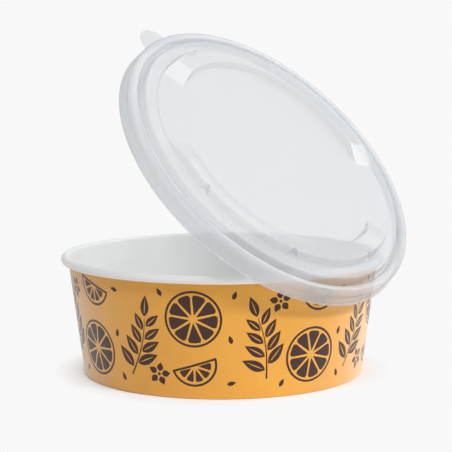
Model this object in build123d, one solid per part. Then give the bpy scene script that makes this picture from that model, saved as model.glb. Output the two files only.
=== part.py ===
from build123d import *
import os
from math import acos, asin, atan2, cos, degrees, hypot, radians, sin, sqrt, tan

# A round paper food bowl with a clear snap lid that leans half open on its rim.
# Millimetres and degrees. The origin is the centre of the foot, on the table, with +Z up.

# Bowl
rim_diameter = 185.0
bowl_height = 67.5
foot_diameter = 160.0
board = 0.45
bead_diameter = 4.4
curl_gap = 0.9
foot_rounding = 0.4
base_recess = 9.0
base_bend = 0.55
hem_clearance = 1.5
glue_gap = 0.05
seam_lap = 9.0
seam_ramp = 3.0
seam_bearing = 90.0

# Lid
sheet = 0.35
bead_clearance = 0.25
crown_flat = 0.3
skirt_depth = 10.2
skirt_flare = 10.0
snap_undercut = 0.35
snap_drop = 0.9
lip_width = 1.3
plug_depth = 5.0
plug_width = 1.8
plug_draft = 12.0
deck_rise = 0.9
panel_step = 0.6
band_width = 6.6
corner_radius = 0.7

# Stacking ribs on the lid's panel
rib_margin = 0.8
rib_height = 3.6
rib_width = 13.0
rib_side_slope = 25.0
rib_half_span = 69.0
rib_end_slope = 15.0
notch_depth = 1.8
notch_bearings = (-44.0, 0.0, 44.0)

# Pull tab
tab_radius = 10.5
tab_length = 11.5
tab_root_radius = 4.0
tab_bearing = 225.0

# How the lid leans on the rim
lean_bearing = -41.4
lean_tilt = 47.8
lid_turn = -32.0
rest_gap = 0.15

# The rim bead and the straight wall that runs tangent into it
rim_radius = rim_diameter / 2
foot_radius = foot_diameter / 2
bead_radius = bead_diameter / 2
bead_ring = rim_radius - bead_radius
bead_level = bowl_height - bead_radius
curl_inside = bead_radius - board
foot_to_bead = hypot(bead_ring - foot_radius, bead_level)
taper = degrees(atan2(bead_ring - foot_radius, bead_level) - asin(curl_inside / foot_to_bead))
slope = tan(radians(taper))
skew = 1 / cos(radians(taper))


def wall_point(depth, level):
    """Point at a given depth of paper inside the wall's outer face, at a given height."""
    return (foot_radius + level * slope - depth * skew, level)


def cone_point(bearing, depth, level):
    """Point in space at a given bearing, depth of paper and height on the wall."""
    radius = wall_point(depth, level)[0]
    return Vector(radius * cos(radians(bearing)), radius * sin(radians(bearing)), level)


def bead_point(radius, bearing):
    """Point on a circle about the centre of the rolled bead, in the section."""
    return (bead_ring + radius * cos(radians(bearing)), bead_level + radius * sin(radians(bearing)))


def revolve_section(face, turn=360.0, start=0.0):
    """Turn a section drawn in radius and height about the upright axis."""
    return Rot(0, 0, start) * revolve(Plane.XZ * face, Axis.Z, turn)


# Plies through the foot: wall, base skirt and hem, with glue between them
skirt_inset = board + glue_gap
hem_inset = skirt_inset + board + glue_gap
hem_height = base_recess - hem_clearance


def make_sidewall():
    """Cone of board with its curled rim, its folded hem and the lap of its side seam."""
    curl_start = 180 - taper
    curl_turn = 360 - degrees(acos(curl_inside / bead_radius) + curl_gap / bead_radius)
    curl_middle = curl_start - curl_turn / 2
    curl_end = curl_start - curl_turn
    outer_face = Line(wall_point(0, 0), bead_point(curl_inside, curl_start))
    curl_under = ThreePointArc(
        bead_point(curl_inside, curl_start),
        bead_point(curl_inside, curl_middle),
        bead_point(curl_inside, curl_end),
    )
    curl_edge = Line(bead_point(curl_inside, curl_end), bead_point(bead_radius, curl_end))
    curl_over = ThreePointArc(
        bead_point(bead_radius, curl_end),
        bead_point(bead_radius, curl_middle),
        bead_point(bead_radius, curl_start),
    )
    inside_and_hem = Polyline(
        bead_point(bead_radius, curl_start),
        wall_point(board, board),
        wall_point(hem_inset, board),
        wall_point(hem_inset, hem_height),
        wall_point(hem_inset + board, hem_height),
        wall_point(hem_inset + board, 0),
        wall_point(0, 0),
    )
    section = make_face([outer_face, curl_under, curl_edge, curl_over, inside_and_hem])
    foot_corners = section.vertices().group_by(Axis.Y)[0]
    return revolve_section(fillet(foot_corners, foot_rounding)) + make_seam()


def make_seam():
    """Outer ply of the lap seam: a cut edge on one side, run down to the wall on the other."""
    seam_foot = 2 * foot_rounding
    seam_top = bead_level - curl_inside - board
    ply = make_face(
        Polyline(
            wall_point(board / 2, seam_foot),
            wall_point(-board, seam_foot),
            wall_point(-board, seam_top),
            wall_point(board / 2, seam_top),
            close=True,
        )
    )
    lap_end = seam_bearing + degrees(seam_lap / rim_radius)
    ramp_start = lap_end - degrees(seam_ramp / rim_radius)
    low_edge = cone_point(lap_end, 0, 0)
    along = cone_point(lap_end, 0, bowl_height) - low_edge
    across = cone_point(ramp_start, -board, bowl_height / 2) - low_edge
    ramp = Plane(origin=low_edge, x_dir=along, z_dir=along.cross(across))
    above_ramp = Box(3 * bowl_height, 2 * seam_lap, seam_lap, align=(Align.CENTER, Align.CENTER, Align.MIN))
    return revolve_section(ply, lap_end - seam_bearing, seam_bearing) - ramp * above_ramp


def make_base():
    """Round of board with its edge turned down into the hem."""
    base_top = base_recess + board
    section = make_face(
        Polyline(
            (0, base_top),
            wall_point(skirt_inset, base_top),
            wall_point(skirt_inset, board + glue_gap),
            wall_point(skirt_inset + board, board + glue_gap),
            wall_point(skirt_inset + board, base_recess),
            (0, base_recess),
            close=True,
        )
    )
    outer_bend = section.vertices().group_by(Axis.Y)[-1].sort_by(Axis.X)[-1]
    section = fillet(outer_bend, base_bend + board)
    inner_bend = section.vertices().filter_by_position(Axis.Y, base_recess, base_recess).sort_by(Axis.X)[-1]
    return revolve_section(fillet(inner_bend, base_bend))


# Heights in the lid, from the underside of its lip
crown_radius = bead_radius + bead_clearance
crown_level = skirt_depth - crown_radius
deck_level = skirt_depth + deck_rise
panel_level = deck_level + panel_step
plug_level = skirt_depth - plug_depth

# Radii in the lid: the channel follows the bead and the plug follows the bowl's wall
plug_outer = bead_ring - crown_flat / 2 - crown_radius * skew - (crown_level - plug_level) * slope
plug_inner = plug_outer - plug_width
deck_radius = plug_inner - (deck_level - plug_level) * tan(radians(plug_draft))
snap_level = crown_level - bead_radius - snap_drop
snap_radius = rim_radius - snap_undercut
skirt_radius = snap_radius + snap_level * tan(radians(skirt_flare))
lip_radius = skirt_radius + lip_width
band_inner = deck_radius - band_width
rib_ring = band_inner - rib_margin - rib_width / 2


def lid_profile():
    """Underside of the lid from its axis to the edge of its lip, in radius and height."""
    channel_in = bead_ring - crown_flat / 2 - crown_radius * (skew - slope)
    snap_lean = atan2(rim_radius + bead_clearance + crown_flat / 2 - snap_radius, crown_level - snap_level)
    channel_out = bead_ring + crown_flat / 2 + crown_radius * (1 / cos(snap_lean) + tan(snap_lean))
    snap_face = channel_out - (skirt_depth - snap_level) * tan(snap_lean)
    points = (
        (0, panel_level),
        (band_inner - panel_step, panel_level),
        (band_inner, deck_level),
        (deck_radius, deck_level),
        (plug_inner, plug_level),
        (plug_outer, plug_level),
        (channel_in, skirt_depth),
        (channel_out, skirt_depth),
        (snap_face, snap_level),
        (skirt_radius, 0),
        (lip_radius, 0),
    )
    rounds = [corner_radius] * 5 + [crown_radius] * 2 + [corner_radius] * 2
    return FilletPolyline(*points, radius=rounds)


def make_rib(grown):
    """One stacking rib as a solid, its faces pushed out by a given distance."""
    side = radians(rib_side_slope)
    base_half = rib_width / 2 + grown / cos(side)
    top_half = base_half - (rib_height + grown) * tan(side)
    rib_top = panel_level + rib_height + grown
    section = make_face(
        Polyline(
            (rib_ring - base_half, panel_level),
            (rib_ring - top_half, rib_top),
            (rib_ring + top_half, rib_top),
            (rib_ring + base_half, panel_level),
            close=True,
        )
    )
    overrun = 10
    rib = revolve_section(section, 2 * (rib_half_span + overrun), -rib_half_span - overrun)
    end_slope = radians(rib_end_slope)
    seat = (Align.CENTER, Align.CENTER, Align.MIN)
    above_end = Box(4 * rib_width, 8 * rib_width, 4 * rib_width, align=seat)
    for way in (-1, 1):
        end = Pos(rib_ring, way * grown / sin(end_slope), panel_level) * Rot(-way * rib_end_slope, 0, 0)
        rib -= Rot(0, 0, way * rib_half_span) * end * above_end
    notch_side = (rib_height * tan(side) + notch_depth) * sqrt(2) - 2 * grown
    for bearing in notch_bearings:
        notch = Pos(rib_ring + rib_width / 2, 0, panel_level) * Rot(0, 0, 45)
        rib -= Rot(0, 0, bearing) * notch * Box(notch_side, notch_side, 4 * rib_height)
    return rib


def make_tab():
    """Flat round pull tab that runs out of the lip, with hollow roots."""
    tip = Pos(lip_radius + tab_length - tab_radius, 0) * Circle(tab_radius)
    outline = Circle(lip_radius) + tip
    roots = outline.vertices().group_by(SortBy.DISTANCE)[0]
    return extrude(fillet(roots, tab_root_radius) - Circle(skirt_radius + sheet), sheet)


def make_lid():
    """Thermoformed lid in its own frame, with its lip in the plane z = 0 and its ribs on X."""
    underside = lid_profile()
    section = make_face(offset(underside, sheet, side=Side.LEFT))
    lid = revolve_section(section)
    for bearing in (0, 180):
        turn = Rot(0, 0, bearing)
        lid = lid + turn * make_rib(sheet) - turn * make_rib(0)
    return lid + Rot(0, 0, tab_bearing) * make_tab()


def lid_seat():
    """Plane of the lid's lip where its deck rests on the bead, clear of the plug ring."""
    tilt = radians(lean_tilt)
    bearing = radians(lean_bearing)
    outward = Vector(cos(bearing), sin(bearing), 0)
    upward = Vector(0, 0, 1)
    normal = outward * sin(tilt) + upward * cos(tilt)
    downhill = outward * cos(tilt) - upward * sin(tilt)
    # The bead curves away under the lid: where it has dropped by the plug's depth it passes the ring
    fall_back = (deck_level - plug_level) / sin(tilt)
    half_chord = sqrt(bead_ring ** 2 - (bead_ring - fall_back) ** 2)
    free_radius = deck_radius - bead_radius - rest_gap
    reach = sqrt(free_radius ** 2 - half_chord ** 2) + fall_back * cos(tilt)
    contact = outward * bead_ring + upward * bead_level + normal * bead_radius
    centre = contact + normal * (rest_gap - deck_level) - downhill * reach
    return Plane(origin=centre, x_dir=downhill, z_dir=normal)


parts = {
    "sidewall": make_sidewall(),
    "base_disc": make_base(),
    "lid": lid_seat() * Rot(0, 0, lid_turn) * make_lid(),
}

os.makedirs("parts", exist_ok=True)
for name, shape in parts.items():
    export_step(shape, f"parts/{name}.step")
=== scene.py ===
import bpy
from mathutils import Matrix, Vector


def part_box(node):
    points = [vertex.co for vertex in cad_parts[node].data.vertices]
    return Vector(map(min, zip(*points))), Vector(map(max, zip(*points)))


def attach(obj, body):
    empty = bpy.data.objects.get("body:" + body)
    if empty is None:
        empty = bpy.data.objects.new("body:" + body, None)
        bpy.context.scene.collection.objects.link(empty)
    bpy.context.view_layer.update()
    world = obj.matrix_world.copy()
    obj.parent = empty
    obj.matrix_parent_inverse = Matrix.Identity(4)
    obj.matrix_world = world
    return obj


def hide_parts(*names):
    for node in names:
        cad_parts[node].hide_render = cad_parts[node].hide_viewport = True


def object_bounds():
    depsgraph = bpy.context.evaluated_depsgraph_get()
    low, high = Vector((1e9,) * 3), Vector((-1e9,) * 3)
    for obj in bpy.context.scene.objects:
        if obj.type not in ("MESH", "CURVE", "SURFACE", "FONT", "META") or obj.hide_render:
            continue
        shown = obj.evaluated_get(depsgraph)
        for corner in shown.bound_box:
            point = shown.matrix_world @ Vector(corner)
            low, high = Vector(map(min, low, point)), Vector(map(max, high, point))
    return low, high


bl_info = {
    "name": "Printed Paper Bowl",
    "version": (1, 0, 0),
    "blender": (4, 5, 0),
    "location": "3D View > Sidebar > Paper Bowl",
    "description": "Dresses a round printed paper bowl and its clear lid, and sets up its stage",
    "category": "Add Mesh",
}

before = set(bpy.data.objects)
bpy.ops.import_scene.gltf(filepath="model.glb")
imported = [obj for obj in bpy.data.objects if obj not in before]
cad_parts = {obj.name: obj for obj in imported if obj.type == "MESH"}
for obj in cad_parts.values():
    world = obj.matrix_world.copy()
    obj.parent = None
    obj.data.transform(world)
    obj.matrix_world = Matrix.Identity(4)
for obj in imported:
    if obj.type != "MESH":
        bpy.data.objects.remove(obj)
cad_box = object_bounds()

from math import acos, asin, atan2, cos, hypot, pi, radians, sin, tan

import bmesh
import bpy
from bpy.props import FloatProperty, FloatVectorProperty, IntProperty, PointerProperty
from mathutils import Matrix, Vector
from mathutils.geometry import delaunay_2d_cdt

MM = 0.001
FULL_TURN = 2 * pi
wall_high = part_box("sidewall")[1]

# Slots of the wall's finishes, in the order in which wall_materials gives them
FIELD, INK, LINER, CUT_EDGE = range(4)

# Widths in a slice of citrus, as multiples of the drawn line
RIND = 1.4
RIND_AND_PITH = 2.6
CORE = 2.2
HALF_GAP = 0.55


def linear(hex_colour):
    """Linear RGBA of an sRGB hex colour such as #F0A840."""
    channels = [int(hex_colour[place:place + 2], 16) / 255 for place in (1, 3, 5)]
    return tuple(c / 12.92 if c <= 0.04045 else ((c + 0.055) / 1.055) ** 2.4 for c in channels) + (1.0,)


def size_property(name, description, millimetres):
    """A length in metres, from its size in millimetres."""
    return FloatProperty(name=name, description=description, default=millimetres * MM, unit="LENGTH")


def angle_property(name, description, degrees):
    """An angle in radians, from its size in degrees."""
    return FloatProperty(name=name, description=description, default=radians(degrees), unit="ROTATION")


def colour_property(name, description, hex_colour):
    """A colour swatch, from an sRGB hex value."""
    return FloatVectorProperty(
        name=name, description=description, default=linear(hex_colour), size=4, min=0, max=1, subtype="COLOR"
    )


def share_property(name, description, share):
    """A share from 0 to 1."""
    return FloatProperty(name=name, description=description, default=share, min=0, max=1, subtype="FACTOR")


def place_property(name, description, place):
    """A place in metres."""
    return FloatVectorProperty(name=name, description=description, default=place, subtype="TRANSLATION")


def power_property(name, description, watts):
    """The power of a lamp in watts."""
    return FloatProperty(name=name, description=description, default=watts, min=0, unit="POWER")


def count_property(name, description, count, least):
    """A whole number, with the least that still gives a shape."""
    return IntProperty(name=name, description=description, default=count, min=least)


class PaperBowlSizes(bpy.types.PropertyGroup):
    """Sizes of the rolled paper bowl; its rim and height come from the frame."""

    foot: size_property("Foot", "Diameter of the foot", 160)
    board: size_property("Board", "Thickness of the paper board", 0.45)
    bead: size_property("Bead", "Thickness of the rolled rim", 4.4)
    curl_gap: size_property("Curl gap", "Gap between the end of the curl and the wall", 0.9)
    foot_rounding: size_property("Foot rounding", "Radius of the fold at the foot", 0.4)
    base_recess: size_property("Base recess", "Height of the base above the table", 9)
    hem_clearance: size_property("Hem clearance", "Gap between the hem and the base", 1.5)
    glue_gap: size_property("Glue gap", "Thickness of the glue between two plies", 0.05)
    seam_lap: size_property("Seam lap", "Width of the lap at the side seam", 9)
    seam_ramp: size_property("Seam ramp", "Width over which the lap runs down to the wall", 3)
    seam_bearing: angle_property("Seam bearing", "Place of the side seam round the bowl", 90)
    columns: count_property("Columns", "Steps round the wall", 240, 24)
    rows: count_property("Rows", "Steps up the printed face", 22, 2)


class PaperBowlPrint(bpy.types.PropertyGroup):
    """The print on the outside of the bowl, in one ink on a field of colour."""

    field: colour_property("Field", "Colour of the printed field", "#EFA936")
    ink: colour_property("Ink", "Colour of the motifs", "#40221A")
    liner: colour_property("Liner", "Colour of the white lined board", "#F6F6F5")
    repeats: count_property("Repeats", "Repeats of the design round the bowl", 8, 1)
    line: size_property("Line", "Width of the drawn lines", 0.9)
    sprig: size_property("Sprig", "Height of a leaf sprig", 46)
    slice: size_property("Slice", "Diameter of a citrus slice", 31)
    half_slice: size_property("Half slice", "Diameter of a half slice", 25)
    blossom: size_property("Blossom", "Diameter of a blossom", 13)
    seed: size_property("Seed", "Length of a loose seed", 5)


class PaperBowlLid(bpy.types.PropertyGroup):
    """The finish of the clear lid, and where it leans."""

    sheet: colour_property("Sheet", "Colour of the haze in the sheet", "#F2F4F6")
    tint: colour_property("Tint", "Colour that a flat face lets through", "#FAFBFC")
    steep_tint: colour_property("Steep tint", "Colour that a face seen edge on lets through", "#F0F2F5")
    haze: share_property("Haze", "Share of light that the flat panel scatters", 0.42)
    drawn_haze: share_property("Drawn haze", "Share of light that the thinly drawn ring scatters", 0.28)
    skirt_haze: share_property("Skirt haze", "Share of light that the skirt scatters", 0.45)
    steep_haze: share_property("Steep haze", "Share of light that a face seen edge on scatters", 0.08)
    shade: share_property("Shade", "Share of lamp light that a face keeps out of its shadow", 0.62)
    gloss: share_property("Gloss", "Share of light that a face seen square on mirrors", 0.045)
    steep_gloss: share_property("Steep gloss", "Share of light that a face seen edge on mirrors", 0.4)
    roughness: share_property("Roughness", "Roughness of the gloss", 0.12)
    ring_inner: size_property("Ring inside", "Radius where the drawn ring starts", 83.5)
    ring_outer: size_property("Ring outside", "Radius where the drawn ring ends", 88.8)
    blend: size_property("Blend", "Width over which the haze changes", 1.2)
    centre: place_property("Centre", "Middle of the lid's lip", (0.0234, -0.0206, 0.1176))
    lean: angle_property("Lean", "How far the lid is tipped from level", 47.8)
    bearing: angle_property("Bearing", "Direction that the lid is tipped in", -41.4)


class PaperBowlStage(bpy.types.PropertyGroup):
    """Camera, floor and lamps."""

    camera: place_property("Camera", "Place of the camera", (0, -0.8633, 0.1875))
    pitch: angle_property("Pitch", "How far the camera looks down", 6.93)
    yaw: angle_property("Yaw", "How far the camera looks to the right", 0.13)
    roll: angle_property("Roll", "How far the camera leans", -0.2)
    focal_length: FloatProperty(
        name="Focal length", description="In millimetres", default=120.66, min=1, unit="CAMERA"
    )
    backdrop: colour_property("Backdrop", "Colour of the background", "#F8F8F8")
    floor: colour_property("Floor", "Colour of the floor under the lamps, near the bowl", "#ECECEC")
    floor_reach: size_property("Floor reach", "Distance from the bowl to the floor's sides", 4000)
    shadow_start: size_property("Shadow start", "Radius where the floor starts to fade out", 80.3)
    shadow_end: size_property("Shadow end", "Radius where the floor has faded out", 98)
    ambient: FloatProperty(
        name="Ambient", description="Strength of the light from all round", default=0.25, min=0
    )
    lamp_distance: size_property("Lamp distance", "Distance of the lamps from the object", 1500)
    key_power: power_property("Key", "Power of the main lamp", 11)
    window_power: power_property("Window", "Power of the lamp at the right", 4.5)
    front_power: power_property("Front", "Power of the lamp above the camera", 8)
    back_power: power_property("Back", "Power of the lamp behind", 8)


def add_node(tree, kind, inputs=None, **settings):
    """Add a shader node with its settings, and set or link its inputs."""
    node = tree.nodes.new(kind)
    for name, value in settings.items():
        setattr(node, name, value)
    for name, value in (inputs or {}).items():
        if isinstance(value, bpy.types.NodeSocket):
            tree.links.new(value, node.inputs[name])
        else:
            node.inputs[name].default_value = value
    return node


def new_material(name):
    """Empty node material and its tree."""
    material = bpy.data.materials.new(name)
    material.use_nodes = True
    material.node_tree.nodes.clear()
    return material, material.node_tree


def pattern_scale(millimetres):
    """Scale that gives a texture features of that size in object coordinates."""
    return 1 / (millimetres * MM)


def board_material(name, colour, roughness, cloud, fibre_depth, bloom=0.0, shine=0.5):
    """Paper board: clouds in the sheet give faint patches of tone, and its fibres a soft broken gloss."""
    cloud_size = 14
    # Real fibres are about 0.03 mm wide; drawn at 0.8 mm so that they show
    fibre_size = 0.8
    gloss_spread = 0.08
    material, tree = new_material(name)
    place = add_node(tree, "ShaderNodeTexCoord").outputs["Object"]
    clouds = add_node(
        tree,
        "ShaderNodeTexNoise",
        {"Vector": place, "Scale": pattern_scale(cloud_size), "Detail": 4, "Roughness": 0.6},
    )
    shade = add_node(
        tree,
        "ShaderNodeMapRange",
        {
            "Value": clouds.outputs["Fac"],
            "From Min": 0.3,
            "From Max": 0.7,
            "To Min": 1 - cloud,
            "To Max": 1 + cloud,
        },
    )
    tone = add_node(
        tree, "ShaderNodeHueSaturation", {"Color": colour, "Value": shade.outputs["Result"]}
    )
    fibres = add_node(
        tree,
        "ShaderNodeTexNoise",
        {"Vector": place, "Scale": pattern_scale(fibre_size), "Detail": 3, "Roughness": 0.7},
    )
    gloss = add_node(
        tree,
        "ShaderNodeMapRange",
        {
            "Value": fibres.outputs["Fac"],
            "To Min": roughness - gloss_spread,
            "To Max": roughness + gloss_spread,
        },
    )
    bump = add_node(
        tree,
        "ShaderNodeBump",
        {"Strength": 0.35, "Distance": fibre_depth * MM, "Height": fibres.outputs["Fac"]},
    )
    surface = add_node(
        tree,
        "ShaderNodeBsdfPrincipled",
        {
            "Base Color": tone.outputs["Color"],
            "Roughness": gloss.outputs["Result"],
            "IOR": 1.5,
            "Specular IOR Level": shine,
            "Sheen Weight": bloom,
            "Sheen Roughness": 0.5,
            "Normal": bump.outputs["Normal"],
        },
    )
    add_node(tree, "ShaderNodeOutputMaterial", {"Surface": surface.outputs["BSDF"]})
    return material


def wall_materials(look):
    """The four finishes of the rolled board, in the order of their slots."""
    # Offset print under a satin varnish: an even field with a broad soft shine and a pale bloom
    field = board_material(
        "offset_printed_board_field",
        look.field,
        roughness=0.42,
        cloud=0.03,
        fibre_depth=0.04,
        bloom=0.8,
        shine=0.35,
    )
    # The same print where a heavy dark ink fills the board's texture: smoother, with less bloom
    ink = board_material(
        "offset_printed_board_ink",
        look.ink,
        roughness=0.38,
        cloud=0.06,
        fibre_depth=0.03,
        bloom=0.25,
        shine=0.3,
    )
    # Extruded polythene on bleached board: white, smooth, with a soft wet-looking shine
    liner = board_material(
        "polythene_lined_white_board", look.liner, roughness=0.4, cloud=0.015, fibre_depth=0.05
    )
    # Die-cut edge of the bleached board: open fibres with no shine
    cut_edge = board_material("die_cut_board_edge", look.liner, roughness=0.85, cloud=0.04, fibre_depth=0.1)
    return field, ink, liner, cut_edge


def radius_on_lid(tree, place, look):
    """Distance of a place from the lid's own axis."""
    # So large a scale takes away the height above the lip, and leaves the distance from the axis
    flattened = 1e6
    from_axis = add_node(
        tree,
        "ShaderNodeMapping",
        {
            "Vector": place,
            "Location": look.centre,
            "Rotation": (0, look.lean, look.bearing),
            "Scale": (1, 1, flattened),
        },
        vector_type="TEXTURE",
    )
    length = add_node(tree, "ShaderNodeVectorMath", {0: from_axis.outputs["Vector"]}, operation="LENGTH")
    return length.outputs["Value"]


def sheet_haze(tree, radius, edge_on, look):
    """Share of light that the sheet scatters, less where it is drawn thin and where it is seen edge on."""
    edge_on_from = 0.6
    inward = add_node(
        tree,
        "ShaderNodeMapRange",
        {
            "Value": radius,
            "From Min": look.ring_inner,
            "From Max": look.ring_inner + look.blend,
            "To Min": look.haze,
            "To Max": look.drawn_haze,
        },
        interpolation_type="SMOOTHSTEP",
    )
    drawn = add_node(
        tree,
        "ShaderNodeMapRange",
        {
            "Value": radius,
            "From Min": look.ring_outer - look.blend,
            "From Max": look.ring_outer,
            "To Min": inward.outputs["Result"],
            "To Max": look.skirt_haze,
        },
        interpolation_type="SMOOTHSTEP",
    )
    haze = add_node(
        tree,
        "ShaderNodeMapRange",
        {
            "Value": edge_on,
            "From Min": edge_on_from,
            "To Min": drawn.outputs["Result"],
            "To Max": look.steep_haze,
        },
        interpolation_type="SMOOTHSTEP",
    )
    # A formed sheet bends lamp light aside, so its shadow is deeper than its haze alone would make it
    lamp_light = add_node(
        tree,
        "ShaderNodeMath",
        {0: add_node(tree, "ShaderNodeLightPath").outputs["Is Shadow Ray"], 1: look.shade},
        operation="MULTIPLY",
    )
    kept_back = add_node(
        tree, "ShaderNodeMath", {0: haze.outputs["Result"], 1: lamp_light.outputs[0]}, operation="MAXIMUM"
    )
    return kept_back.outputs[0]


def sheet_tint(tree, edge_on, look):
    """Colour that the sheet lets through, a little deeper where it is seen edge on."""
    edge_on_from = 0.45
    slant = add_node(
        tree,
        "ShaderNodeMapRange",
        {"Value": edge_on, "From Min": edge_on_from},
        interpolation_type="SMOOTHSTEP",
    )
    # The colour sockets of this node are numbers 6 and 7, and its colour result is number 2
    let_through = add_node(
        tree,
        "ShaderNodeMix",
        {"Factor": slant.outputs["Result"], 6: look.tint, 7: look.steep_tint},
        data_type="RGBA",
    )
    return let_through.outputs[2]


def lid_material(look):
    """Thermoformed clear PET: a thin haze, clearer where the sheet is drawn, and a smooth rippled gloss."""
    ripple_size = 18
    ripple_depth = 0.3
    gloss_rise = 3.0
    material, tree = new_material("thermoformed_clear_pet")
    place = add_node(tree, "ShaderNodeTexCoord").outputs["Object"]
    edge_on = add_node(tree, "ShaderNodeLayerWeight", {"Blend": 0.5}).outputs["Facing"]
    haze = sheet_haze(tree, radius_on_lid(tree, place, look), edge_on, look)
    clear = add_node(tree, "ShaderNodeBsdfTransparent", {"Color": sheet_tint(tree, edge_on, look)})
    glow = add_node(tree, "ShaderNodeBsdfTranslucent", {"Color": look.sheet})
    matt = add_node(tree, "ShaderNodeBsdfDiffuse", {"Color": look.sheet})
    veil = add_node(
        tree, "ShaderNodeMixShader", {"Fac": 0.5, 1: glow.outputs["BSDF"], 2: matt.outputs["BSDF"]}
    )
    sheet = add_node(
        tree, "ShaderNodeMixShader", {"Fac": haze, 1: clear.outputs["BSDF"], 2: veil.outputs["Shader"]}
    )
    ripple = add_node(
        tree, "ShaderNodeTexNoise", {"Vector": place, "Scale": pattern_scale(ripple_size), "Detail": 1}
    )
    bump = add_node(
        tree,
        "ShaderNodeBump",
        {"Strength": 0.25, "Distance": ripple_depth * MM, "Height": ripple.outputs["Fac"]},
    )
    gloss = add_node(
        tree, "ShaderNodeBsdfGlossy", {"Roughness": look.roughness, "Normal": bump.outputs["Normal"]}
    )
    steepness = add_node(tree, "ShaderNodeMath", {0: edge_on, 1: gloss_rise}, operation="POWER")
    mirror = add_node(
        tree,
        "ShaderNodeMapRange",
        {"Value": steepness.outputs[0], "To Min": look.gloss, "To Max": look.steep_gloss},
    )
    surface = add_node(
        tree,
        "ShaderNodeMixShader",
        {"Fac": mirror.outputs["Result"], 1: sheet.outputs["Shader"], 2: gloss.outputs["BSDF"]},
    )
    add_node(tree, "ShaderNodeOutputMaterial", {"Surface": surface.outputs["Shader"]})
    return material


class WallShape:
    """Lines of the bowl's wall in its section, worked out from its driving sizes."""

    def __init__(self, sizes):
        self.sizes = sizes
        self.foot = sizes.foot / 2
        self.bead = sizes.bead / 2
        self.bead_ring = wall_high.x - self.bead
        self.bead_level = wall_high.z - self.bead
        self.curl_inside = self.bead - sizes.board
        offset = self.bead_ring - self.foot
        span = hypot(offset, self.bead_level)
        self.taper = atan2(offset, self.bead_level) - asin(self.curl_inside / span)
        self.slope = tan(self.taper)
        self.face_top = self.bead_level + self.curl_inside * sin(self.taper)
        self.face_foot = sizes.foot_rounding * (1 - sin(self.taper))
        self.lap = sizes.seam_lap / wall_high.x
        self.ramp = sizes.seam_ramp / wall_high.x
        self.seam_foot = 2 * sizes.foot_rounding
        self.seam_top = self.bead_level - self.bead

    def radius(self, level, depth=0.0):
        """Radius at a height, at a depth of paper inside the outer face."""
        return self.foot + level * self.slope - depth / cos(self.taper)

    def lap_height(self, turn, level):
        """How far the lap of the side seam stands out from the wall."""
        if not self.seam_foot <= level <= self.seam_top:
            return 0.0
        return self.sizes.board * min(1, max(0, (self.lap - turn) / self.ramp))

    def bead_point(self, radius, angle):
        """Radius and height of a point on a circle about the middle of the bead."""
        return (self.bead_ring + radius * cos(angle), self.bead_level + radius * sin(angle))

    def flat(self, turn, level):
        """Place on the flat fan-shaped blank of a point on the wall's face."""
        reach = self.radius(level) / sin(self.taper)
        swing = (turn - pi) * sin(self.taper)
        return Vector((reach * sin(swing), reach * cos(swing)))

    def rolled(self, point):
        """Turn from the seam and height on the wall of a place on the flat blank."""
        turn = atan2(point.x, point.y) / sin(self.taper) + pi
        return turn, (point.length * sin(self.taper) - self.foot) / self.slope

    def in_space(self, radius, turn, level):
        """Point in the row frame at a turn from the seam."""
        bearing = self.sizes.seam_bearing + turn
        return Vector((radius * cos(bearing), radius * sin(bearing), level))


def arc(radius, start, end, steps, centre=(0.0, 0.0)):
    """Points along an arc, both ends included."""
    angles = [start + (end - start) * step / steps for step in range(steps + 1)]
    return [Vector((centre[0] + radius * cos(a), centre[1] + radius * sin(a))) for a in angles]


def leaf(length, width, steps=10):
    """Outline of a pointed leaf that stands on the origin, widest a little below its middle."""
    lift = 0.8
    right = [
        Vector((width / 2 * sin(pi * (step / steps) ** lift), length * step / steps))
        for step in range(steps + 1)
    ]
    left = [Vector((-point.x, point.y)) for point in reversed(right[1:-1])]
    return right + left


def moved(loop, place=(0.0, 0.0), angle=0.0):
    """A loop turned about the origin and moved."""
    turn = Matrix.Rotation(angle, 2)
    return [turn @ point + Vector(place) for point in loop]


def veined_leaf(length, width, line, place, angle):
    """A solid leaf with a bare midrib."""
    rib_start = length * 0.1
    rib_length = length * 0.72
    blade = leaf(length, width)
    rib = moved(leaf(rib_length, line, 6), (0, rib_start))
    return [moved(blade, place, angle), moved(rib, place, angle)]


def leaf_sprig(height, line):
    """A curved stem with pairs of leaves, shorter and steeper towards its tip, and one leaf there."""
    bow = height * 0.08
    stem_share = 0.74
    stem_steps = 14
    vein = line * 0.6

    def stem_at(share):
        return Vector((bow * sin(pi * share), height * (share - 0.5)))

    shares = [stem_share * step / stem_steps for step in range(stem_steps + 1)]
    sides = [Vector((line / 2 * (1.15 - share), 0)) for share in shares]
    right = [stem_at(share) + side for share, side in zip(shares, sides)]
    left = [stem_at(share) - side for share, side in zip(shares, sides)]
    loops = [right + left[::-1]]
    pairs = 4
    for pair in range(pairs):
        share = 0.14 + 0.16 * pair
        length = height * (0.30 - 0.025 * pair)
        lean = radians(52 - 5 * pair)
        for way in (-1, 1):
            root = stem_at(share + 0.03 * way) + Vector((way * line, 0))
            loops += veined_leaf(length, length * 0.42, vein, root, -way * lean)
    return loops + veined_leaf(height * 0.26, height * 0.11, vein, stem_at(0.76), radians(6))


def citrus_slice(diameter, line, segments=9):
    """Rind, pith and segments of a round slice."""
    radius = diameter / 2
    loops = [arc(radius, 0, FULL_TURN, 72)[:-1], arc(radius - RIND * line, 0, FULL_TURN, 64)[:-1]]
    step = FULL_TURN / segments
    return loops + [moved(segment(radius, line, step), (0, 0), step * index) for index in range(segments)]


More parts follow.
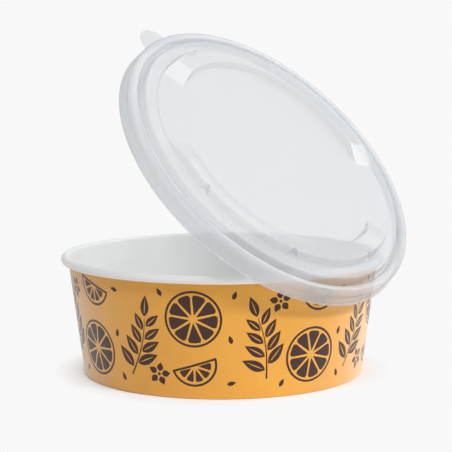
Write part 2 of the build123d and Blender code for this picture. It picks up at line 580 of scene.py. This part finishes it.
def half_slice(diameter, line, segments=5):
    """Rind, pith and segments of half a slice, cut side up."""
    radius = diameter / 2
    inner = radius - RIND * line
    edge = asin(RIND * line / inner)
    drop = 1.2 * line
    loops = [arc(radius, -pi, 0, 40), arc(inner, -pi + edge, -edge, 36)]
    step = pi / segments
    turns = [-pi + step * (index + 0.5) for index in range(segments)]
    loops += [moved(segment(inner, line, step), (0, -drop), turn) for turn in turns]
    return [moved(loop, (0, radius / 2)) for loop in loops]


def blossom(diameter, petals=5):
    """Open petals round a small eye."""
    length = diameter * 0.38
    eye_radius = diameter * 0.07
    petal = moved(leaf(length, length * 0.75, 8), (0, diameter / 2 - length))
    eye = arc(eye_radius, 0, FULL_TURN, 12)[:-1]
    return [eye] + [moved(petal, angle=FULL_TURN * index / petals) for index in range(petals)]


def segment(radius, line, step):
    """One wedge of fruit about the X axis, with a rounded back."""
    outer = radius - RIND_AND_PITH * line
    inner = CORE * line
    half = step / 2 - HALF_GAP * line / outer
    back = arc(outer, -half, half, 8)
    shoulder = outer * 0.9
    wide = step / 2 - HALF_GAP * line / shoulder
    tip = Vector((inner, 0))
    low = Vector((shoulder * cos(wide), -shoulder * sin(wide)))
    high = Vector((shoulder * cos(wide), shoulder * sin(wide)))
    return [tip, low] + back[1:-1] + [high]


def design_loops(wall, look):
    """Outlines of every motif on the flat blank; a place inside an odd number of them is inked."""
    sprig = leaf_sprig(look.sprig, look.line)
    whole = citrus_slice(look.slice, look.line)
    half = half_slice(look.half_slice, look.line)
    flower = blossom(look.blossom)
    seed = [moved(leaf(look.seed, look.seed * 0.5, 6), (0, -look.seed / 2))]
    middle = wall.face_top / 2
    step = FULL_TURN / look.repeats
    loops = []

    def put(shapes, turn, level, lean):
        centre = wall.flat(turn, level)
        swing = atan2(centre.x, centre.y)
        for shape in shapes:
            loops.append(moved(shape, centre, radians(lean) - swing))

    for index in range(look.repeats):
        start = step * index
        # High and low change places in every other repeat
        way = 1 if index % 2 else -1
        # Each motif with its share of the repeat's width, millimetres above the middle and lean in degrees
        motifs = (
            (sprig, 0.275, 0, -14 * way),
            (whole, 0.765, 11, 11 * index),
            (half, 0.79, -19.5, 18 * way),
            (flower, 0.455, -20, 20 * index),
            (seed, 0.5, 25, 30 * way),
            (seed, 0.07, 24, 75 * way),
            (seed, 0.09, -24, 20 * way),
            (seed, 0.06, 0, -15 * way),
        )
        for shapes, share, height, lean in motifs:
            put(shapes, start + share * step, middle + way * height * MM, lean)
    return loops


def finely_cut(loop, step):
    """A loop with points added on its long sides."""
    points = []
    for start, end in zip(loop, loop[1:] + loop[:1]):
        pieces = max(1, round((end - start).length / step))
        points += [start.lerp(end, piece / pieces) for piece in range(pieces)]
    return points


def signed_area(loop):
    """Area of a loop, positive where it runs anticlockwise."""
    return sum(a.x * b.y - b.x * a.y for a, b in zip(loop, loop[1:] + loop[:1])) / 2


def face_levels(wall):
    """Heights of the rows of points on the printed face, with a sharp step at each end of the lap."""
    rows = wall.sizes.rows
    step_width = 0.05 * MM
    seam_height = wall.seam_top - wall.seam_foot
    on_lap = [wall.seam_foot + seam_height * row / rows for row in range(rows + 1)]
    return [wall.face_foot, on_lap[0] - step_width] + on_lap + [on_lap[-1] + step_width, wall.face_top]


def printed_face(mesh, wall, look):
    """The outside of the wall: its flat blank cut along the motifs, then rolled up."""
    columns = wall.sizes.columns
    outline_step = 1.5 * MM
    inside_outlines = 1
    point_gap = 1e-7
    levels = face_levels(wall)
    turns = [FULL_TURN * column / columns for column in range(columns + 1)]

    points = [wall.flat(turn, levels[0]) for turn in turns]
    points += [wall.flat(turns[-1], level) for level in levels[1:-1]]
    points += [wall.flat(turn, levels[-1]) for turn in reversed(turns)]
    points += [wall.flat(turns[0], level) for level in reversed(levels[1:-1])]
    outlines = [list(range(len(points)))]
    for motif in design_loops(wall, look):
        loop = finely_cut(motif, outline_step)
        if signed_area(loop) < 0:
            loop.reverse()
        outlines.append(list(range(len(points), len(points) + len(loop))))
        points += loop
    lap_turns = [wall.lap - wall.ramp, wall.lap]
    points += [wall.flat(turn, level) for turn in turns[1:-1] + lap_turns for level in levels[1:-1]]

    places, _, triangles, _, _, covers = delaunay_2d_cdt(points, [], outlines, inside_outlines, point_gap)
    corners = []
    for place in places:
        turn, level = wall.rolled(place)
        radius = wall.radius(level, -wall.lap_height(turn, level))
        corners.append(mesh.verts.new(wall.in_space(radius, turn, level)))
    for triangle, cover in zip(triangles, covers):
        face = mesh.faces.new([corners[corner] for corner in triangle])
        motifs = [outline for outline in cover if outline > 0]
        face.material_index = INK if len(motifs) % 2 else FIELD


def lap_edge(mesh, wall):
    """The cut edge of the lap, from the wall's face out to the face of the lap."""
    levels = face_levels(wall)
    inner = [wall.in_space(wall.radius(level), 0, level) for level in levels]
    outer = [wall.in_space(wall.radius(level, -wall.lap_height(0, level)), 0, level) for level in levels]
    sides = list(zip(inner, outer))
    for (low_in, low_out), (high_in, high_out) in zip(sides, sides[1:]):
        if (low_out - low_in).length + (high_out - high_in).length > 0:
            face = mesh.faces.new([mesh.verts.new(point) for point in (low_in, low_out, high_out, high_in)])
            face.material_index = CUT_EDGE


def wall_section(wall):
    """The rest of the section: over the bead, down the inside and round the hem to the printed face."""
    sizes = wall.sizes
    board = sizes.board
    under_steps = 48
    over_steps = 64
    inside_steps = 16
    fold_steps = 6
    start = pi - wall.taper
    turn = FULL_TURN - acos(wall.curl_inside / wall.bead) - sizes.curl_gap / wall.bead
    bead_centre = (wall.bead_ring, wall.bead_level)
    hem = 2 * board + 2 * sizes.glue_gap
    hem_top = sizes.base_recess - sizes.hem_clearance
    fold = sizes.foot_rounding

    def at(depth, level):
        return Vector((wall.radius(level, depth), level))

    inner_top = Vector(wall.bead_point(wall.bead, start))
    curl_under = arc(wall.curl_inside, start, start - turn, under_steps, bead_centre)
    curl_over = arc(wall.bead, start - turn, start, over_steps, bead_centre)
    curl_edge = [curl_under[-1], curl_over[0]]
    inside = [inner_top.lerp(at(board, board), step / inside_steps) for step in range(inside_steps + 1)]
    pocket = [at(board, board), at(hem, board), at(hem, hem_top), at(hem + board, hem_top)]
    inner_fold = (wall.radius(fold, hem + board) + fold, fold)
    outer_fold = (wall.radius(wall.face_foot) - fold * cos(wall.taper), fold)
    recess = [at(hem + board, hem_top)] + arc(fold, pi - wall.taper, 1.5 * pi, fold_steps, inner_fold)
    underside = arc(fold, -pi / 2, -wall.taper, fold_steps, outer_fold)
    return [
        (curl_under, LINER),
        (curl_edge, CUT_EDGE),
        (curl_over, LINER),
        (inside, LINER),
        (pocket, LINER),
        (recess + underside, FIELD),
    ]


def sweep(mesh, wall, line, material):
    """A line of the section turned all the way round."""
    columns = wall.sizes.columns
    turns = [FULL_TURN * column / columns for column in range(columns)]
    rings = [[mesh.verts.new(wall.in_space(point.x, turn, point.y)) for turn in turns] for point in line]
    for ring, ring_next in zip(rings, rings[1:]):
        for column in range(columns):
            after = (column + 1) % columns
            face = mesh.faces.new([ring[column], ring[after], ring_next[after], ring_next[column]])
            face.material_index = material


def wall_mesh(wall, look):
    """The whole wall as one closed sheet of board, with its finishes."""
    weld_gap = 0.002 * MM
    crease = radians(32)
    mesh = bmesh.new()
    printed_face(mesh, wall, look)
    lap_edge(mesh, wall)
    for line, material in wall_section(wall):
        sweep(mesh, wall, line, material)
    bmesh.ops.remove_doubles(mesh, verts=mesh.verts, dist=weld_gap)
    bmesh.ops.recalc_face_normals(mesh, faces=mesh.faces)
    data = bpy.data.meshes.new("bowl_wall")
    mesh.to_mesh(data)
    mesh.free()
    data.shade_smooth()
    data.set_sharp_from_angle(angle=crease)
    for material in wall_materials(look):
        data.materials.append(material)
    return data


class PAPERBOWL_OT_wall(bpy.types.Operator):
    """Roll the printed board into the bowl's wall"""

    bl_idname = "paper_bowl.wall"
    bl_label = "Printed wall"

    def execute(self, context):
        scene = context.scene
        data = wall_mesh(WallShape(scene.paper_bowl_sizes), scene.paper_bowl_print)
        piece = bpy.data.objects.new("bowl_wall", data)
        scene.collection.objects.link(piece)
        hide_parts("sidewall")
        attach(piece, "root")
        return {"FINISHED"}


class PAPERBOWL_OT_base(bpy.types.Operator):
    """Finish the round of board in the bottom of the bowl"""

    bl_idname = "paper_bowl.base"
    bl_label = "Base"

    def execute(self, context):
        look = context.scene.paper_bowl_print
        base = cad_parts["base_disc"]
        # The same polythene-lined board as the wall's inside: white, smooth, with a soft wet-looking shine
        base.data.materials[0] = board_material(
            "polythene_lined_base_board", look.liner, roughness=0.4, cloud=0.015, fibre_depth=0.05
        )
        return {"FINISHED"}


class PAPERBOWL_OT_lid(bpy.types.Operator):
    """Finish the clear lid"""

    bl_idname = "paper_bowl.lid"
    bl_label = "Lid"

    def execute(self, context):
        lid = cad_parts["lid"]
        lid.data.materials[0] = lid_material(context.scene.paper_bowl_lid)
        return {"FINISHED"}


def seen_directly(tree):
    """1 for rays from the camera, a reflection or glass, and 0 for the light that falls on things."""
    path = add_node(tree, "ShaderNodeLightPath").outputs
    either = add_node(
        tree, "ShaderNodeMath", {0: path["Is Camera Ray"], 1: path["Is Glossy Ray"]}, operation="MAXIMUM"
    )
    any_of_three = add_node(
        tree, "ShaderNodeMath", {0: either.outputs[0], 1: path["Is Transmission Ray"]}, operation="MAXIMUM"
    )
    return any_of_three.outputs[0]


def floor_material(stage):
    """Matt white sweep: shows shadows near the object and runs out into the plain background."""
    fade_rise = 0.35
    material, tree = new_material("matt_paper_sweep")
    place = add_node(tree, "ShaderNodeTexCoord").outputs["Object"]
    distance = add_node(tree, "ShaderNodeVectorMath", {0: place}, operation="LENGTH")
    away = add_node(
        tree,
        "ShaderNodeMapRange",
        {
            "Value": distance.outputs["Value"],
            "From Min": stage.shadow_start,
            "From Max": stage.shadow_end,
        },
    )
    fade = add_node(tree, "ShaderNodeMath", {0: away.outputs["Result"], 1: fade_rise}, operation="POWER")
    share = add_node(
        tree, "ShaderNodeMath", {0: fade.outputs[0], 1: seen_directly(tree)}, operation="MULTIPLY"
    )
    matt = add_node(tree, "ShaderNodeBsdfDiffuse", {"Color": stage.floor})
    plain = add_node(tree, "ShaderNodeEmission", {"Color": stage.backdrop, "Strength": 1.0})
    surface = add_node(
        tree,
        "ShaderNodeMixShader",
        {"Fac": share.outputs[0], 1: matt.outputs["BSDF"], 2: plain.outputs["Emission"]},
    )
    add_node(tree, "ShaderNodeOutputMaterial", {"Surface": surface.outputs["Shader"]})
    return material


def add_floor(scene, stage):
    """Wide flat floor, a hair below the foot so that the two faces don't share a plane."""
    gap = 0.1 * MM
    reach = stage.floor_reach
    data = bpy.data.meshes.new("floor")
    corners = [(-reach, -reach, 0), (reach, -reach, 0), (reach, reach, 0), (-reach, reach, 0)]
    data.from_pydata(corners, [], [(0, 1, 2, 3)])
    data.materials.append(floor_material(stage))
    floor = bpy.data.objects.new("floor", data)
    floor.location.z = -gap
    scene.collection.objects.link(floor)


def add_surroundings(scene, stage):
    """Even white light from all round, behind a plain pale background."""
    world = bpy.data.worlds.new("studio")
    world.use_nodes = True
    tree = world.node_tree
    tree.nodes.clear()
    around = add_node(tree, "ShaderNodeBackground", {"Color": linear("#FFFFFF"), "Strength": stage.ambient})
    plain = add_node(tree, "ShaderNodeBackground", {"Color": stage.backdrop, "Strength": 1.0})
    surface = add_node(
        tree,
        "ShaderNodeMixShader",
        {
            "Fac": seen_directly(tree),
            1: around.outputs["Background"],
            2: plain.outputs["Background"],
        },
    )
    add_node(tree, "ShaderNodeOutputWorld", {"Surface": surface.outputs["Shader"]})
    scene.world = world


def add_lamp(scene, name, direction, size, power, mirrored=False):
    """Square soft lamp that looks at the middle of the object, mirrored in shiny faces or not."""
    target = (Vector(cad_box[0]) + Vector(cad_box[1])) / 2
    light = bpy.data.lights.new(name, "AREA")
    light.shape = "SQUARE"
    light.size = size
    light.energy = power
    lamp = bpy.data.objects.new(name, light)
    lamp.location = target + Vector(direction).normalized() * scene.paper_bowl_stage.lamp_distance
    lamp.visible_camera = False
    lamp.visible_glossy = mirrored
    lamp.rotation_euler = (target - lamp.location).to_track_quat("-Z", "Y").to_euler()
    scene.collection.objects.link(lamp)


def add_camera(scene, stage):
    """Camera at the photograph's viewing angle, with a long lens on a full-frame sensor."""
    lens = bpy.data.cameras.new("camera")
    lens.sensor_width = 36
    lens.lens = stage.focal_length
    camera = bpy.data.objects.new("camera", lens)
    turn = Matrix.Rotation(-stage.yaw, 4, "Z") @ Matrix.Rotation(pi / 2 - stage.pitch, 4, "X")
    camera.matrix_world = Matrix.Translation(stage.camera) @ turn @ Matrix.Rotation(stage.roll, 4, "Z")
    scene.collection.objects.link(camera)
    scene.camera = camera


class PAPERBOWL_OT_stage(bpy.types.Operator):
    """Set up the floor, the lamps and the camera"""

    bl_idname = "paper_bowl.stage"
    bl_label = "Stage"

    def execute(self, context):
        scene = context.scene
        stage = scene.paper_bowl_stage
        add_floor(scene, stage)
        add_surroundings(scene, stage)
        # Only the window is mirrored: it lights the ends of the lid's ribs, and the others would glint
        add_lamp(scene, "key", (0.8, -0.62, 0.66), 0.2, stage.key_power)
        add_lamp(scene, "window", (0.78, 0.09, 0.6), 0.88, stage.window_power, mirrored=True)
        add_lamp(scene, "front", (-0.2, -0.55, 0.85), 0.4, stage.front_power)
        add_lamp(scene, "back", (0.75, 0.6, 0.3), 0.5, stage.back_power)
        add_camera(scene, stage)
        scene.view_settings.view_transform = "Standard"
        return {"FINISHED"}


class PAPERBOWL_PT_panel(bpy.types.Panel):
    """Sizes and colours of the bowl, and the steps that dress it, in order"""

    bl_label = "Paper Bowl"
    bl_idname = "PAPERBOWL_PT_panel"
    bl_space_type = "VIEW_3D"
    bl_region_type = "UI"
    bl_category = "Paper Bowl"

    def draw(self, context):
        for name, group in GROUPS.items():
            box = self.layout.box()
            for field in group.__annotations__:
                box.prop(getattr(context.scene, name), field)
        for step in STEPS:
            self.layout.operator(step.bl_idname)


GROUPS = {
    "paper_bowl_sizes": PaperBowlSizes,
    "paper_bowl_print": PaperBowlPrint,
    "paper_bowl_lid": PaperBowlLid,
    "paper_bowl_stage": PaperBowlStage,
}
STEPS = (PAPERBOWL_OT_wall, PAPERBOWL_OT_base, PAPERBOWL_OT_lid, PAPERBOWL_OT_stage)


def register():
    """Add the property groups to the scene, then the steps and the panel."""
    for group in GROUPS.values():
        bpy.utils.register_class(group)
    for name, group in GROUPS.items():
        setattr(bpy.types.Scene, name, PointerProperty(type=group))
    for step in STEPS:
        bpy.utils.register_class(step)
    bpy.utils.register_class(PAPERBOWL_PT_panel)


def unregister():
    """Take away what register added, in reverse."""
    bpy.utils.unregister_class(PAPERBOWL_PT_panel)
    for step in reversed(STEPS):
        bpy.utils.unregister_class(step)
    for name in GROUPS:
        delattr(bpy.types.Scene, name)
    for group in reversed(GROUPS.values()):
        bpy.utils.unregister_class(group)


def main():
    """Dress the bowl and set up its stage."""
    register()
    bpy.ops.paper_bowl.wall()
    bpy.ops.paper_bowl.base()
    bpy.ops.paper_bowl.lid()
    bpy.ops.paper_bowl.stage()


if __name__ == "__main__":
    main()
